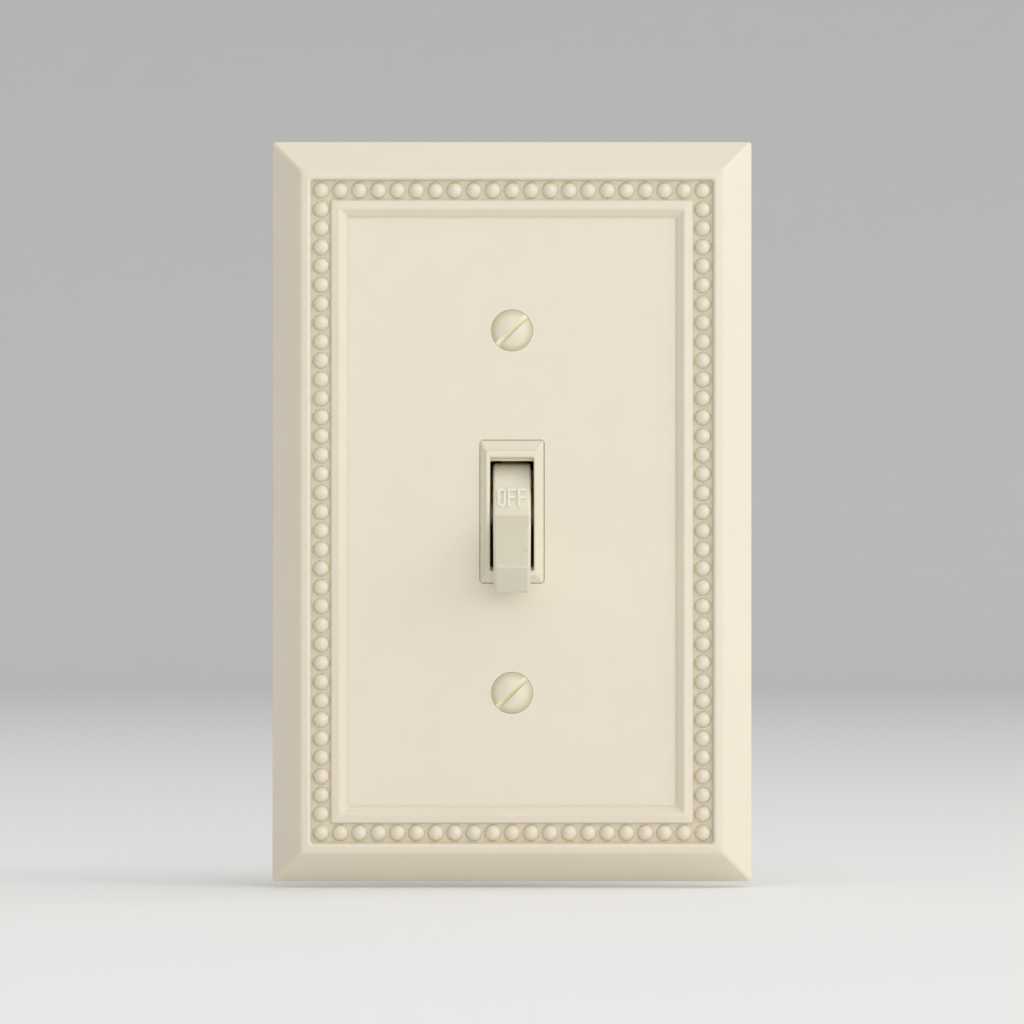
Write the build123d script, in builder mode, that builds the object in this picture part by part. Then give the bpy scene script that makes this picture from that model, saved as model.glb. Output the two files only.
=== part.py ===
from build123d import *
import math
import os

os.makedirs("parts", exist_ok=True)

# Toggle wall switch: a beaded wall plate over a single-pole toggle switch on its mounting strap.
# Millimetres. The wall is the plane y = 0, the front faces -Y, +Z is up and +X is to the right.
# The origin is on the wall, midway between the two screws that hold the switch to its box.

# ---- Driving dimensions ----
plate_width = 79.9
plate_height = 123.3
edge_height = 1.8  # upright outer edge of the plate, off the wall
bevel_run = 4.4  # 45 degree bevel that rises from that edge
crest_radius = 2.4
crest_height = edge_height + bevel_run + crest_radius * (1 - math.cos(math.radians(45)))
crest_inset = 6.1  # plate edge to the top of the crest
crest_drop_radius = 0.65
channel_height = 5.6
rim_outer_inset = 9.8
rim_round = 0.5
rim_height = 6.5
rim_inner_inset = 11.3
rim_slope_run = 1.35
panel_height = 5.4
panel_thickness = 1.8
rear_pocket_inset = 3.4
bead_diameter = 2.75
bead_inset = 8.2
beads_across = 21
beads_up = 35

plate_screw_spacing = 60.325
box_screw_spacing = 83.34
screw_radius = 1.75  # number 6-32 thread
tapped_radius = 1.8
running_gap = 0.05

strap_thickness = 1.25
strap_length = 106.4
strap_width = 21.0
strap_end_width = 23.0
strap_end_length = 26.0

frame_width = 10.4  # switch frame that shows in the plate's opening
frame_height = 23.5
frame_front = 5.7
step_width = 8.66
step_top = 10.15
step_bottom = -10.7
step_front = 6.4
opening_gap = 0.2

body_width = 24.0
body_height = 50.0
body_depth = 24.0
body_wall = 1.8
cover_thickness = 2.0

toggle_pivot_y = 1.5
toggle_pivot_z = -0.4
toggle_swing = 60.0  # OFF points this far below ON
drum_radius = 8.5
drum_width = 6.27
lever_length = 21.8
lever_tip_width = 5.95
lever_tip_thickness = 5.3
lever_root_angle = 30.3
tip_round = 0.8
trunnion_radius = 2.0
trunnion_end = 4.6
spring_seat_radius = 9.0
spring_peg_radius = 1.3
spring_peg_end = 10.5
spring_outer_radius = 2.2
spring_inner_radius = 1.5
spring_end = 13.6

rocker_pivot_y = 17.0
rocker_tilt = 8.0
dish_radius = 13.1
rocker_thickness = 1.2
dish_half_angle = 38.0
rocker_half_length = 12.0
rocker_width = 4.4
pin_radius = 0.8
contact_arm = 11.0  # rocker pivot to the contacts
contact_radius = 1.5
contact_thickness = 0.8
contact_gap = 0.08

terminal_thickness = 0.8
terminal_screw_y = 10.0
terminal_screw_z = 16.5
wire_bore_radius = 1.3
wire_bore_depth = 10.0
wire_bore_x = 6.6
wire_bore_z = 18.0
rivet_radius = 1.1
rivet_x = 8.3
rivet_z = 22.3

plate_screw_z = plate_screw_spacing / 2
box_screw_z = box_screw_spacing / 2
half_body = body_width / 2
inner_half_width = half_body - body_wall
inner_half_height = body_height / 2 - body_wall
floor_y = body_depth - body_wall


def save(piece, name):
    """Label a finished piece and write it as parts/name.step."""
    piece.part.label = name
    export_step(piece.part, f"parts/{name}.step")


# ---- Wall plate ----
# Every step of the border has the same section from all four edges, so each one is the
# intersection of a solid drawn across the width with one drawn up the height.
# An outline is drawn from one edge to the middle, with distance in x and the front at -y.
UP_SECTION = Plane(origin=(0, 0, 0), x_dir=(0, 0, 1), z_dir=(-1, 0, 0))
CLEAR_FRONT = 8.0


def mitred(draw_outline):
    """Solid with the same section from all four edges of the plate."""
    with BuildPart() as solid:
        with BuildSketch(Plane.XY):
            with BuildLine():
                draw_outline(plate_width / 2)
                mirror(about=Plane.YZ)
            make_face()
        extrude(amount=plate_height / 2, both=True)
        with BuildSketch(UP_SECTION):
            with BuildLine():
                draw_outline(plate_height / 2)
                mirror(about=Plane.YZ)
            make_face()
        extrude(amount=plate_width / 2, both=True, mode=Mode.INTERSECT)
    return solid.part


def bevelled_block(half):
    """The plate's outer shape: upright edge, bevel and rounded crest."""
    bevel_end = (bevel_run - half, -edge_height - bevel_run)
    Polyline((0, 0), (-half, 0), (-half, -edge_height), bevel_end)
    crest = JernArc(start=bevel_end, tangent=(1, -1), radius=crest_radius, arc_size=45)
    Line(crest @ 1, (0, -crest_height))


def channel_cut(half):
    """The drop behind the crest, down to the channel that holds the beads."""
    start = crest_inset - half
    wall = start + crest_drop_radius
    Polyline((0, -CLEAR_FRONT), (start, -CLEAR_FRONT), (start, -crest_height))
    drop = JernArc((start, -crest_height), (1, 0), crest_drop_radius, 90)
    Polyline(drop @ 1, (wall, -channel_height), (0, -channel_height))


def inner_rim(half):
    """The rim inside the beads, before its middle is cut away."""
    wall = rim_outer_inset - half
    base = panel_height - panel_thickness
    Polyline((0, -base), (wall, -base), (wall, rim_round - rim_height))
    top = JernArc((wall, rim_round - rim_height), (0, -1), rim_round, 90)
    Line(top @ 1, (0, -rim_height))


def panel_cut(half):
    """The slope from the rim down to the flat panel."""
    start = rim_inner_inset - half
    Polyline(
        (0, -CLEAR_FRONT),
        (start, -CLEAR_FRONT),
        (start, -rim_height),
        (start + rim_slope_run, -panel_height),
        (0, -panel_height),
    )


bead_x = plate_width / 2 - bead_inset
bead_z = plate_height / 2 - bead_inset
bead_centre = Plane.XZ.offset(crest_height - bead_diameter / 2)

with BuildPart() as wall_plate:
    add(mitred(bevelled_block))
    add(mitred(channel_cut), mode=Mode.SUBTRACT)
    add(mitred(inner_rim))
    add(mitred(panel_cut), mode=Mode.SUBTRACT)
    # Rear hollow, so that only a rim rests on the wall
    with BuildSketch(Plane.XZ):
        RectangleRounded(
            plate_width - 2 * rear_pocket_inset, plate_height - 2 * rear_pocket_inset, 2
        )
    extrude(amount=panel_height - panel_thickness, mode=Mode.SUBTRACT)
    # Opening for the switch's frame
    with BuildSketch(Plane.XZ):
        RectangleRounded(frame_width + 2 * opening_gap, frame_height + 2 * opening_gap, 0.5)
    extrude(amount=CLEAR_FRONT, mode=Mode.SUBTRACT)
    # Countersunk holes for the plate screws
    with Locations(Plane.XZ.offset(panel_height)):
        with GridLocations(0, plate_screw_spacing, 1, 2):
            CounterSinkHole(radius=1.95, counter_sink_radius=3.45, depth=3)
    # Beads: two full rows, then the two columns between them
    with Locations(bead_centre):
        with GridLocations(2 * bead_x / (beads_across - 1), 2 * bead_z, beads_across, 2):
            Sphere(bead_diameter / 2)
        with GridLocations(2 * bead_x, 2 * bead_z / (beads_up - 1), 2, beads_up - 2):
            Sphere(bead_diameter / 2)
save(wall_plate, "wall_plate")

# ---- Plate screws: oval heads, slotted, set into the plate ----
oval_head_radius = 3.4
oval_rise = 0.9
plate_screw_end = 7.3
cone_drop = (oval_head_radius - screw_radius) / math.tan(math.radians(41))

with BuildPart() as plate_screw:
    with BuildSketch(Plane.XY):
        with BuildLine():
            rim = (oval_head_radius, -panel_height)
            neck = (screw_radius, -panel_height + cone_drop)
            Polyline(
                (0, -panel_height - oval_rise),
                (0, plate_screw_end),
                (1.2, plate_screw_end),
                (screw_radius, plate_screw_end - 0.6),
                neck,
                rim,
            )
            ThreePointArc(rim, (2.0, -panel_height - 0.6), (0, -panel_height - oval_rise))
        make_face()
    revolve(axis=Axis.Y)
    with Locations(Location((0, -panel_height - oval_rise, 0), (0, 45, 0))):
        Box(0.8, 1.9, 2 * oval_head_radius + 1, mode=Mode.SUBTRACT)

with BuildPart() as plate_screws:
    with Locations((0, 0, plate_screw_z), (0, 0, -plate_screw_z)):
        add(plate_screw.part)
save(plate_screws, "plate_screws")

# ---- Mounting strap: flat steel yoke with plaster ears and a bent ground tab ----
tab_low = -37.5
tab_high = -29.5
tab_depth = 8.8
ground_screw_y = 4.6
ground_screw_z = (tab_low + tab_high) / 2
tab_x = -strap_end_width / 2

with BuildPart() as mounting_strap:
    with BuildSketch(Plane.XZ):
        RectangleRounded(strap_width, strap_length - 2, 1)
        with GridLocations(0, strap_length - strap_end_length, 1, 2):
            RectangleRounded(strap_end_width, strap_end_length, 3)
        RectangleRounded(frame_width + 0.8, frame_height + 1.1, 1.2, mode=Mode.SUBTRACT)
        with GridLocations(0, plate_screw_spacing, 1, 2):
            Circle(tapped_radius, mode=Mode.SUBTRACT)
        with GridLocations(0, box_screw_spacing, 1, 2):
            SlotOverall(6.8, 3.9, mode=Mode.SUBTRACT)
        with GridLocations(2 * rivet_x, 2 * rivet_z, 2, 2):
            Circle(rivet_radius + running_gap, mode=Mode.SUBTRACT)
        with GridLocations(15, 97, 2, 2):
            Circle(1.6, mode=Mode.SUBTRACT)
    extrude(amount=strap_thickness)
    with BuildSketch(Plane.YZ.offset(tab_x)):
        with Locations(((tab_depth - strap_thickness) / 2, ground_screw_z)):
            Rectangle(tab_depth + strap_thickness, tab_high - tab_low)
        with Locations((ground_screw_y, ground_screw_z)):
            Circle(tapped_radius, mode=Mode.SUBTRACT)
    extrude(amount=strap_thickness)
save(mounting_strap, "mounting_strap")

# ---- Box screws, with the fibre squares that keep them in the strap ----
box_head_radius = 3.5
box_head_height = 1.9
box_screw_end = 17.8
retainer_thickness = 0.48
screw_neck_radius = 1.35  # root of the thread, which the fibre square grips

with BuildPart() as box_screw:
    with BuildSketch(Plane.XY):
        with BuildLine():
            Polyline(
                (0, -strap_thickness - box_head_height),
                (0, box_screw_end),
                (1.2, box_screw_end),
                (screw_radius, box_screw_end - 0.6),
                (screw_radius, retainer_thickness),
                (screw_neck_radius, retainer_thickness),
                (screw_neck_radius, -strap_thickness),
                (box_head_radius, -strap_thickness),
                (box_head_radius, -strap_thickness - 0.8),
            )
            ThreePointArc(
                (box_head_radius, -strap_thickness - 0.8),
                (2.4, -strap_thickness - 1.6),
                (0, -strap_thickness - box_head_height),
            )
        make_face()
    revolve(axis=Axis.Y)
    with Locations((0, -strap_thickness - box_head_height, 0)):
        Box(2 * box_head_radius + 1, 2.0, 1.0, mode=Mode.SUBTRACT)

with BuildPart() as box_screws:
    with Locations((0, 0, box_screw_z), (0, 0, -box_screw_z)):
        add(box_screw.part)
save(box_screws, "box_screws")

with BuildPart() as screw_retainers:
    with BuildSketch(Plane.XZ):
        with GridLocations(0, box_screw_spacing, 1, 2):
            RectangleRounded(9.5, 9.5, 0.8)
            Circle(screw_neck_radius + running_gap, mode=Mode.SUBTRACT)
    extrude(amount=running_gap - retainer_thickness)
save(screw_retainers, "screw_retainers")

# ---- Switch cover: the lid of the body, with the frame that shows in the plate ----
slot_half_height = 9.35
throat_half_height = 8.85
throat_front = 4.6
slot_width = 7.26
bearing_depth = 4.4
bearing_half_height = 3.6
bearing_half_width = 6.3
slot_centre = (0, toggle_pivot_z)

with BuildPart() as switch_cover:
    with BuildSketch(Plane.XZ):
        RectangleRounded(body_width, body_height, 1.5)
    extrude(amount=-cover_thickness)
    with BuildSketch(Plane.XZ):
        RectangleRounded(frame_width, frame_height, 0.5)
    extrude(amount=frame_front)
    chamfer(switch_cover.faces().sort_by(Axis.Y)[0].edges(), 0.3)
    with BuildSketch(Plane.XZ):
        with Locations((0, (step_top + step_bottom) / 2)):
            RectangleRounded(step_width, step_top - step_bottom, 0.3)
    extrude(amount=step_front)
    chamfer(switch_cover.faces().sort_by(Axis.Y)[0].edges(), 0.25)
    # Blocks under the lid that carry the toggle's trunnions
    with BuildSketch(Plane.XZ.offset(-cover_thickness)):
        with Locations(slot_centre):
            Rectangle(2 * bearing_half_width, 2 * bearing_half_height)
    extrude(amount=cover_thickness - bearing_depth)
    # Toggle slot, wider at the front
    with BuildSketch(Plane.XZ.offset(step_front)):
        with Locations(slot_centre):
            Rectangle(slot_width, 2 * slot_half_height)
    extrude(amount=throat_front - step_front, mode=Mode.SUBTRACT)
    with BuildSketch(Plane.XZ.offset(throat_front)):
        with Locations(slot_centre):
            Rectangle(slot_width, 2 * throat_half_height)
    extrude(amount=-throat_front - bearing_depth, mode=Mode.SUBTRACT)
    # Trunnion saddles, open to the rear
    with BuildSketch(Plane.YZ):
        with Locations((toggle_pivot_y, toggle_pivot_z)):
            Circle(trunnion_radius + running_gap)
        with Locations(((toggle_pivot_y + bearing_depth) / 2, toggle_pivot_z)):
            Rectangle(bearing_depth - toggle_pivot_y, 2 * (trunnion_radius + running_gap))
    extrude(amount=trunnion_end + 0.1, both=True, mode=Mode.SUBTRACT)
    with Locations(Plane.XZ):
        with GridLocations(2 * rivet_x, 2 * rivet_z, 2, 2):
            Hole(rivet_radius + running_gap, depth=3)
save(switch_cover, "switch_cover")

# ---- Toggle ----
# The lever's own plane: x runs from the pivot out along the lever, which points at OFF.
half_swing = math.radians(toggle_swing / 2)
lever_direction = (0, -math.cos(half_swing), -math.sin(half_swing))
toggle_origin = (0, toggle_pivot_y, toggle_pivot_z)
toggle_side = Plane(origin=toggle_origin, x_dir=lever_direction, z_dir=(1, 0, 0))
toggle_top = Plane(origin=toggle_origin, x_dir=lever_direction, z_dir=toggle_side.y_dir)
toggle_rear = Plane(
    origin=toggle_origin, x_dir=(1, 0, 0), z_dir=tuple(-c for c in lever_direction)
)
root_x = drum_radius * math.cos(math.radians(lever_root_angle))
root_y = drum_radius * math.sin(math.radians(lever_root_angle))

with BuildPart() as toggle_lever:
    with BuildSketch(toggle_side):
        with BuildLine():
            Polyline(
                (0, -root_y),
                (root_x, -root_y),
                (lever_length, -lever_tip_thickness / 2),
                (lever_length, lever_tip_thickness / 2),
                (root_x, root_y),
                (0, root_y),
                close=True,
            )
        make_face()
        Circle(drum_radius)
    extrude(amount=drum_width / 2, both=True)
    # Slight taper in width from the drum to the tip
    with BuildSketch(toggle_top):
        with BuildLine():
            Polyline(
                (-20, -drum_width / 2),
                (drum_radius, -drum_width / 2),
                (lever_length, -lever_tip_width / 2),
                (lever_length, lever_tip_width / 2),
                (drum_radius, drum_width / 2),
                (-20, drum_width / 2),
                close=True,
            )
        make_face()
    extrude(amount=drum_radius + 1, both=True, mode=Mode.INTERSECT)
    tip = toggle_lever.faces().sort_by(Axis(toggle_origin, lever_direction))[-1]
    fillet(tip.edges(), tip_round)
    # Trunnions, and the seat and peg of the spring behind the drum
    with Locations(Location(toggle_origin, (0, 90, 0))):
        Cylinder(trunnion_radius, 2 * trunnion_end)
    with BuildSketch(toggle_rear):
        Circle(spring_outer_radius + 0.3)
    extrude(amount=spring_seat_radius)
    with BuildSketch(toggle_rear.offset(spring_seat_radius)):
        Circle(spring_peg_radius)
    extrude(amount=spring_peg_end - spring_seat_radius)
save(toggle_lever, "toggle_lever")

with BuildPart() as toggle_spring:
    with BuildSketch(toggle_rear.offset(spring_seat_radius)):
        Circle(spring_outer_radius)
        Circle(spring_inner_radius, mode=Mode.SUBTRACT)
    extrude(amount=spring_end - spring_seat_radius)
save(toggle_spring, "toggle_spring")

# ---- Contact rocker, drawn in its own plane: x points to the rear and y up its length ----
tilt = math.radians(rocker_tilt)
rocker_origin = (0, rocker_pivot_y, toggle_pivot_z)
rocker_off = Plane(
    origin=rocker_origin, x_dir=(0, math.cos(tilt), -math.sin(tilt)), z_dir=(1, 0, 0)
)
rocker_on = Plane(
    origin=rocker_origin, x_dir=(0, math.cos(tilt), math.sin(tilt)), z_dir=(1, 0, 0)
)
dish_centre = toggle_pivot_y - rocker_pivot_y
dish_outer = dish_radius + rocker_thickness
wing_angle = math.radians(dish_half_angle)
wing_front = dish_centre + dish_radius * math.cos(wing_angle)
wing_back = dish_centre + dish_outer * math.cos(wing_angle)
wing_start = dish_radius * math.sin(wing_angle)

with BuildPart() as contact_rocker:
    with BuildSketch(rocker_off):
        with BuildLine():
            CenterArc((dish_centre, 0), dish_outer, -dish_half_angle, 2 * dish_half_angle)
            CenterArc((dish_centre, 0), dish_radius, -dish_half_angle, 2 * dish_half_angle)
            for side in (1, -1):
                Polyline(
                    (wing_front, side * wing_start),
                    (wing_front, side * rocker_half_length),
                    (wing_back, side * rocker_half_length),
                    (wing_back, side * dish_outer * math.sin(wing_angle)),
                )
        make_face()
        Circle(pin_radius + 0.9)
        Circle(pin_radius + running_gap, mode=Mode.SUBTRACT)
    extrude(amount=rocker_width / 2, both=True)
save(contact_rocker, "contact_rocker")

with BuildPart() as rocker_pin:
    with Locations(Location(rocker_origin, (0, 90, 0))):
        Cylinder(pin_radius, 7.8)
save(rocker_pin, "rocker_pin")

# ---- Contacts: one on the rocker's lower wing, one fixed where that wing closes ----
moving_face = wing_back + contact_thickness
fixed_front = moving_face + contact_gap
fixed_back = fixed_front + contact_thickness

with BuildPart() as moving_contact:
    with BuildSketch(Plane(rocker_off.from_local_coords((wing_back, -contact_arm, 0)),
                           x_dir=(1, 0, 0), z_dir=rocker_off.x_dir)):
        Circle(contact_radius)
    extrude(amount=contact_thickness)
save(moving_contact, "moving_contact")

with BuildPart() as fixed_contact:
    with BuildSketch(Plane(rocker_on.from_local_coords((fixed_front, -contact_arm, 0)),
                           x_dir=(1, 0, 0), z_dir=rocker_on.x_dir)):
        Circle(contact_radius)
    extrude(amount=contact_thickness)
save(fixed_contact, "fixed_contact")

# ---- Switch body: the cup behind the strap that holds the mechanism ----
post_depth = cover_thickness
tower_x = (4.95, inner_half_width)
tower_front = 12.6
tower_z = (14.4, inner_half_height)
bumper_z = (9.8, 12.9)
bumper_post_front = 17.0
bumper_front = 14.65
line_web_z = (3.0, 7.0)
arm_half_width = 2.0
arm_centre = Plane(rocker_on.from_local_coords((fixed_back + terminal_thickness / 2, -contact_arm, 0)),
                   x_dir=(1, 0, 0), z_dir=rocker_on.x_dir)


def block(x, y, z, mode=Mode.ADD):
    """Box from its limits along each axis, in the builder that is open."""
    size = (x[1] - x[0], y[1] - y[0], z[1] - z[0])
    with Locations(((x[0] + x[1]) / 2, (y[0] + y[1]) / 2, (z[0] + z[1]) / 2)):
        Box(*size, mode=mode)


with BuildPart() as switch_body:
    with BuildSketch(Plane.XZ.offset(-cover_thickness)):
        RectangleRounded(body_width, body_height, 1.5)
    extrude(amount=cover_thickness - body_depth)
    fillet(switch_body.faces().sort_by(Axis.Y)[-1].edges(), 0.8)
    with BuildSketch(Plane.XZ.offset(-cover_thickness)):
        Rectangle(2 * inner_half_width, 2 * inner_half_height)
    extrude(amount=cover_thickness - floor_y, mode=Mode.SUBTRACT)
    # Corner posts for the rivets, towers for the push-in wires, post for the bumper
    for end in (1, -1):
        for side in (1, -1):
            block(
                sorted((side * 6.5, side * inner_half_width)),
                (post_depth, floor_y),
                sorted((end * 20.6, end * inner_half_height)),
            )
        block(tower_x, (tower_front, floor_y), sorted((end * tower_z[0], end * tower_z[1])))
    block((-2.5, 2.5), (bumper_post_front, floor_y), bumper_z)
    # Ribs that part the terminals on the right-hand side
    for rib_z in (23.2, -2.5, -23.2):
        block((half_body - 0.5, half_body + 2.8), (4, 17), (rib_z - 0.7, rib_z + 0.7))
    # Slots for the terminals and clearance for their screws
    block(
        (inner_half_width - 1, half_body + 1),
        (floor_y - 1.0, floor_y + 0.05),
        (line_web_z[0] - 0.05, line_web_z[1] + 0.05),
        mode=Mode.SUBTRACT,
    )
    with BuildSketch(arm_centre.offset(-terminal_thickness / 2 - 0.05)):
        with Locations((half_body, 0)):
            Rectangle(2 * body_wall + 1, 2 * arm_half_width + 0.1)
    extrude(amount=terminal_thickness + 0.1, mode=Mode.SUBTRACT)
    for end in (1, -1):
        with Locations(Location((half_body - 2, terminal_screw_y, end * terminal_screw_z), (0, 90, 0))):
            Cylinder(screw_radius + 0.35, 8, mode=Mode.SUBTRACT)
    with Locations(Plane.XZ.offset(-body_depth)):
        with Locations((wire_bore_x, wire_bore_z), (wire_bore_x, -wire_bore_z)):
            Cylinder(wire_bore_radius, 2 * wire_bore_depth, mode=Mode.SUBTRACT)
        with GridLocations(2 * rivet_x, 2 * rivet_z, 2, 2):
            Cylinder(rivet_radius + running_gap, 2 * body_depth, mode=Mode.SUBTRACT)
save(switch_body, "switch_body")

# ---- Rivets that hold the strap, the cover and the body together ----
rivet_head_radius = 1.95
rivet_head_height = 0.75

with BuildPart() as assembly_rivets:
    with BuildSketch(Plane.XZ.offset(strap_thickness + rivet_head_height)):
        with GridLocations(2 * rivet_x, 2 * rivet_z, 2, 2):
            Circle(rivet_head_radius)
    extrude(amount=-rivet_head_height)
    with BuildSketch(Plane.XZ.offset(strap_thickness)):
        with GridLocations(2 * rivet_x, 2 * rivet_z, 2, 2):
            Circle(rivet_radius)
    extrude(amount=-strap_thickness - body_depth)
    with BuildSketch(Plane.XZ.offset(-body_depth)):
        with GridLocations(2 * rivet_x, 2 * rivet_z, 2, 2):
            Circle(rivet_head_radius)
    extrude(amount=-rivet_head_height)
save(assembly_rivets, "assembly_rivets")

# ---- Line terminal: screw plate on the right, strip along the floor, ears for the rocker ----
ear_x = (2.8, 3.6)
outer_plate_x = (half_body + 0.02, half_body + 0.02 + terminal_thickness)
strip_y = (floor_y - terminal_thickness - 0.02, floor_y - 0.02)

with BuildPart() as line_terminal:
    block(outer_plate_x, (5, 15), (11, 21.4))
    block(outer_plate_x, (11, strip_y[1]), (line_web_z[0], 13))
    block((-ear_x[1], outer_plate_x[1]), strip_y, line_web_z)
    block((-ear_x[1], ear_x[1]), strip_y, (-3.0, line_web_z[1]))
    for side in (1, -1):
        block(sorted((side * ear_x[0], side * ear_x[1])), (15.2, strip_y[1]), (-3.0, 2.2))
    with Locations(Location(rocker_origin, (0, 90, 0))):
        Cylinder(pin_radius + running_gap, 8, mode=Mode.SUBTRACT)
    with Locations(Location((half_body, terminal_screw_y, terminal_screw_z), (0, 90, 0))):
        Cylinder(tapped_radius, 4, mode=Mode.SUBTRACT)
save(line_terminal, "line_terminal")

# ---- Load terminal: screw plate on the right and the arm behind the rocker's lower wing ----
with BuildPart() as load_terminal:
    block(outer_plate_x, (5, 15), (-21.4, -11))
    block(outer_plate_x, (11, 18), (-14.5, -9))
    with BuildSketch(arm_centre.offset(-terminal_thickness / 2)):
        with Locations(((outer_plate_x[1] - 2.2) / 2, 0)):
            Rectangle(outer_plate_x[1] + 2.2, 2 * arm_half_width)
    extrude(amount=terminal_thickness)
    with Locations(Location((half_body, terminal_screw_y, -terminal_screw_z), (0, 90, 0))):
        Cylinder(tapped_radius, 4, mode=Mode.SUBTRACT)
save(load_terminal, "load_terminal")

# ---- Side screws: two on the terminals, one on the ground tab ----
side_head_radius = 3.9
side_head_height = 2.2


def side_screw(shank_length):
    """Binding-head screw on the X axis, its head outward and its bearing face at x = 0."""
    with BuildPart() as screw:
        with BuildSketch(Plane.XY):
            with BuildLine():
                Polyline(
                    (side_head_height, 0),
                    (-shank_length, 0),
                    (-shank_length, 1.2),
                    (0.6 - shank_length, screw_radius),
                    (0, screw_radius),
                    (0, side_head_radius),
                    (1.1, side_head_radius),
                )
                ThreePointArc((1.1, side_head_radius), (1.9, 2.4), (side_head_height, 0))
            make_face()
        revolve(axis=Axis.X)
        with Locations((side_head_height, 0, 0)):
            Box(2.0, 2 * side_head_radius + 1, 1.0, mode=Mode.SUBTRACT)
    return screw.part


with BuildPart() as terminal_screws:
    with Locations(
        (outer_plate_x[1], terminal_screw_y, terminal_screw_z),
        (outer_plate_x[1], terminal_screw_y, -terminal_screw_z),
    ):
        add(side_screw(5.2))
save(terminal_screws, "terminal_screws")

with BuildPart() as ground_screw:
    with Locations(Location((tab_x, ground_screw_y, ground_screw_z), (0, 0, 180))):
        add(side_screw(6.0))
save(ground_screw, "ground_screw")

# ---- Push-in wire clamps, hooked over the towers, and the bumper that stops the rocker ----
clamp_thickness = 0.35

with BuildPart() as push_in_clamps:
    for end in (1, -1):
        clamp_z = sorted((end * (wire_bore_z - 2.2), end * (wire_bore_z + 2.2)))
        front = tower_front - clamp_thickness - 0.02
        side = tower_x[0] - clamp_thickness - 0.02
        block((side, 9.4), (front, front + clamp_thickness), clamp_z)
        block((side, side + clamp_thickness), (front, 20), clamp_z)
save(push_in_clamps, "push_in_clamps")

with BuildPart() as rocker_bumper:
    block((-2.3, 2.3), (bumper_front, bumper_post_front), (bumper_z[0] + 0.2, bumper_z[1] - 0.2))
save(rocker_bumper, "rocker_bumper")
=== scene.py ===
import math

import bmesh
import bpy
from mathutils import Matrix, Vector


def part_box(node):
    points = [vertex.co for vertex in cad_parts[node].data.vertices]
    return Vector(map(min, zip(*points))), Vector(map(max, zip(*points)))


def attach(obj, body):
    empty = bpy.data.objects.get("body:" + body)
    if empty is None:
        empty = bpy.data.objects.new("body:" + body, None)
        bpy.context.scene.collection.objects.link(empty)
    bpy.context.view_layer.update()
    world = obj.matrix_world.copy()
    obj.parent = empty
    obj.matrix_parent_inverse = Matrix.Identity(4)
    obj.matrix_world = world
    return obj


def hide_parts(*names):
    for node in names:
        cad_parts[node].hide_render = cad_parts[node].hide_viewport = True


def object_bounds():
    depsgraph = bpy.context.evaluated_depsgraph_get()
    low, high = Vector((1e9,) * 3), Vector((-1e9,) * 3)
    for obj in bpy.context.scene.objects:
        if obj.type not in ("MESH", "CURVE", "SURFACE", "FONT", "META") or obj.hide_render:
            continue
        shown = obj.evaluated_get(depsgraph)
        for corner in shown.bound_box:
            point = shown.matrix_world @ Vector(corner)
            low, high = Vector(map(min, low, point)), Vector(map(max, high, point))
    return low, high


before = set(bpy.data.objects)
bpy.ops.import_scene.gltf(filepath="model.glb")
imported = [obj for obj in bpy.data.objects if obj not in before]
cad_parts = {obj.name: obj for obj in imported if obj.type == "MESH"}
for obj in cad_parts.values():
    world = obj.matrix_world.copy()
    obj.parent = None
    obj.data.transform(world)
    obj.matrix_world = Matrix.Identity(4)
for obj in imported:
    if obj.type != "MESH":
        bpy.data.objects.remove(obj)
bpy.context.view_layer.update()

# ---- Wall plate ----
# A die-cast plate with a mitred moulding and a row of beads, sprayed satin cream. Painted shade:
# the cream is darker and warmer low in the bead channel and along the foot of the rim's slope to
# the panel. Sizes are millimetres until a piece is made.
MM = 0.001
plate_low, plate_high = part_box("wall_plate")
half_width = plate_high[0] / MM
half_height = plate_high[2] / MM
crest_height = -plate_low[1] / MM
border_height = 6.79
edge_height = 1.8
edge_round = 0.4
back_round = 0.25
plate_corner = 0.55
drop_radius = 0.55
channel_inset = 6.5
channel_height = 5.6
rim_inset = 9.8
rim_height = 6.5
panel_height = 5.4
roof_height = 3.6
pocket_inset = 3.4
pocket_corner = 2
bead_inset = 8.2
bead_radius = 1.375
bead_foot_radius = 1.46
bead_neck_radius = 1.41
bead_sunk = 0.15
beads_across = 21
beads_up = 35
opening = (5.4, 11.95)
opening_corner = 0.6
opening_lip = 0.08
screw_hole_z = 30.1625
screw_hole_radius = 1.95
countersink_radius = 3.5
# Painted shade in the bead channel and along the foot of the rim's slope: its fade height, its band
# of insets and its tone.
crevice_shade_fade = 0.6
panel_foot_shade_line = (12.5, 12.9)
cream = (0.775, 0.700, 0.575, 1.0)
cream_in_painted_shade = (0.70, 0.645, 0.47, 1.0)


def arc(centre, radius, start, end, steps):
    """Points of an arc in a section, as (inset from the edge, height off the wall)."""
    turns = [math.radians(start + (end - start) * i / steps) for i in range(steps + 1)]
    return [(centre[0] + radius * math.cos(t), centre[1] + radius * math.sin(t)) for t in turns]


def rounded_ring(bm, half_x, half_z, height, radius, centre=(0, 0), segments=4):
    """Ring of edges round a rectangle with rounded corners, facing the front."""
    cx, cz = centre
    corners = ((1, 1), (-1, 1), (-1, -1), (1, -1))
    square = [bm.verts.new((cx + sx * half_x, -height, cz + sz * half_z)) for sx, sz in corners]
    bm.faces.new(square)
    rounded = bmesh.ops.bevel(
        bm, geom=square, offset=radius, offset_type="OFFSET", segments=segments, profile=0.5,
        affect="VERTICES", material=-1,
    )["verts"]
    face = rounded[0].link_faces[0]
    ring = list(face.edges)
    bmesh.ops.delete(bm, geom=[face], context="FACES_ONLY")
    return ring


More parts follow.
